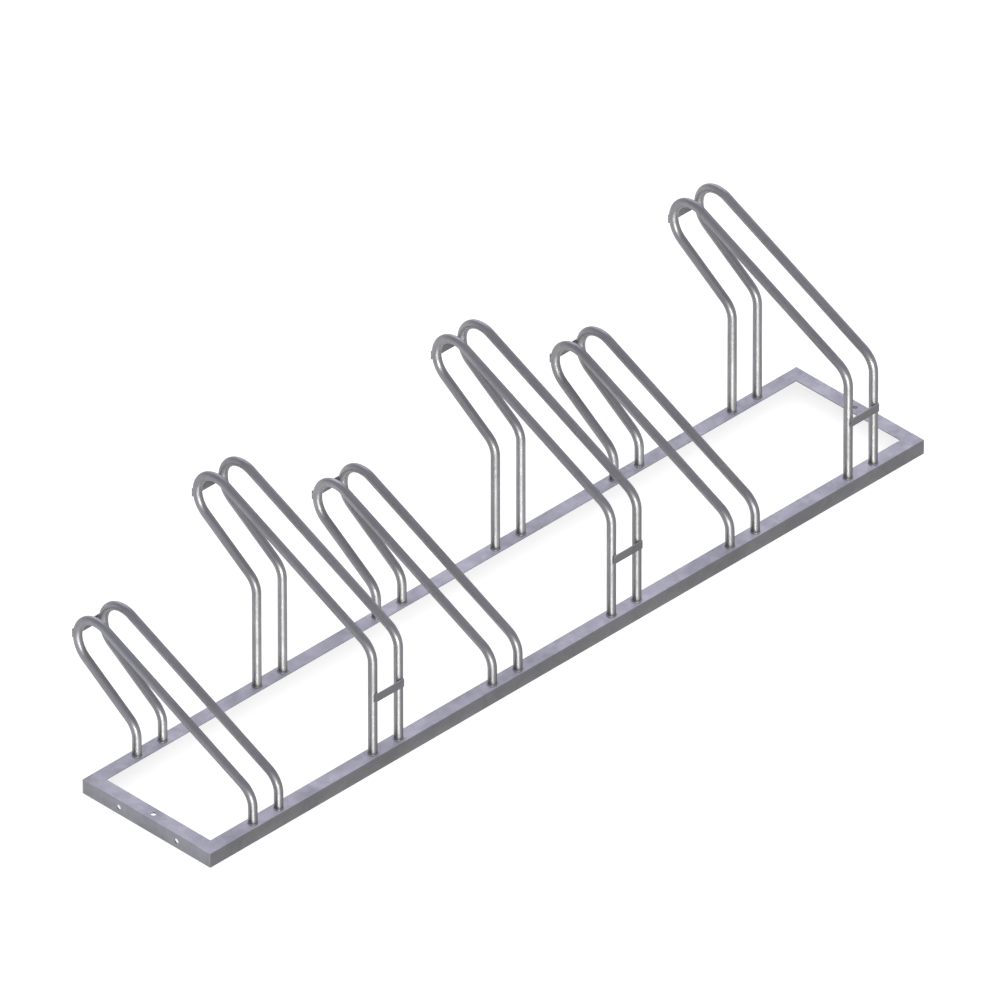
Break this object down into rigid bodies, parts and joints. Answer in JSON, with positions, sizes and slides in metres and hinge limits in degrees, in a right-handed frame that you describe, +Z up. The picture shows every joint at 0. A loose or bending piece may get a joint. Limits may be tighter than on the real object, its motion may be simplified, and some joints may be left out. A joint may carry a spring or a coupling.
{
  "type": "floor bike rack",
  "caption": "Floor bike rack: a welded angle-steel base with pairs of bent tube hoops, alternately low and tall, that hold a bicycle's wheel between them.",
  "frame": {"origin": "on the floor, under the middle of the rack's length and of its whole depth with the hoops", "axes": "+X runs along the rack to the right as a rider facing it sees it, +Y from the front, where the wheels roll in, to the back, and +Z up"},
  "size_m": [2.1, 0.5448, 0.513],
  "materials": {
    "galvanised_angle": "hot-dip galvanised, satin, with a faint spangle",
    "galvanised_tube": "hot-dip galvanised, smooth and slightly shiny",
    "galvanised_flat": "hot-dip galvanised, satin"
  },
  "bodies": {
    "root": {"front_rail": "galvanised_angle", "rear_rail": "galvanised_angle", "left_end_rail": "galvanised_angle", "right_end_rail": "galvanised_angle", "hoop_1_left": "galvanised_tube", "hoop_1_right": "galvanised_tube", "hoop_2_left": "galvanised_tube", "hoop_2_right": "galvanised_tube", "hoop_3_left": "galvanised_tube", "hoop_3_right": "galvanised_tube", "hoop_4_left": "galvanised_tube", "hoop_4_right": "galvanised_tube", "hoop_5_left": "galvanised_tube", "hoop_5_right": "galvanised_tube", "hoop_6_left": "galvanised_tube", "hoop_6_right": "galvanised_tube", "rear_tie_1": "galvanised_flat", "rear_tie_2": "galvanised_flat", "rear_tie_3": "galvanised_flat", "rear_tie_4": "galvanised_flat", "rear_tie_5": "galvanised_flat", "rear_tie_6": "galvanised_flat", "front_tie_2": "galvanised_flat", "front_tie_4": "galvanised_flat", "front_tie_6": "galvanised_flat"}
  },
  "joints": []
}
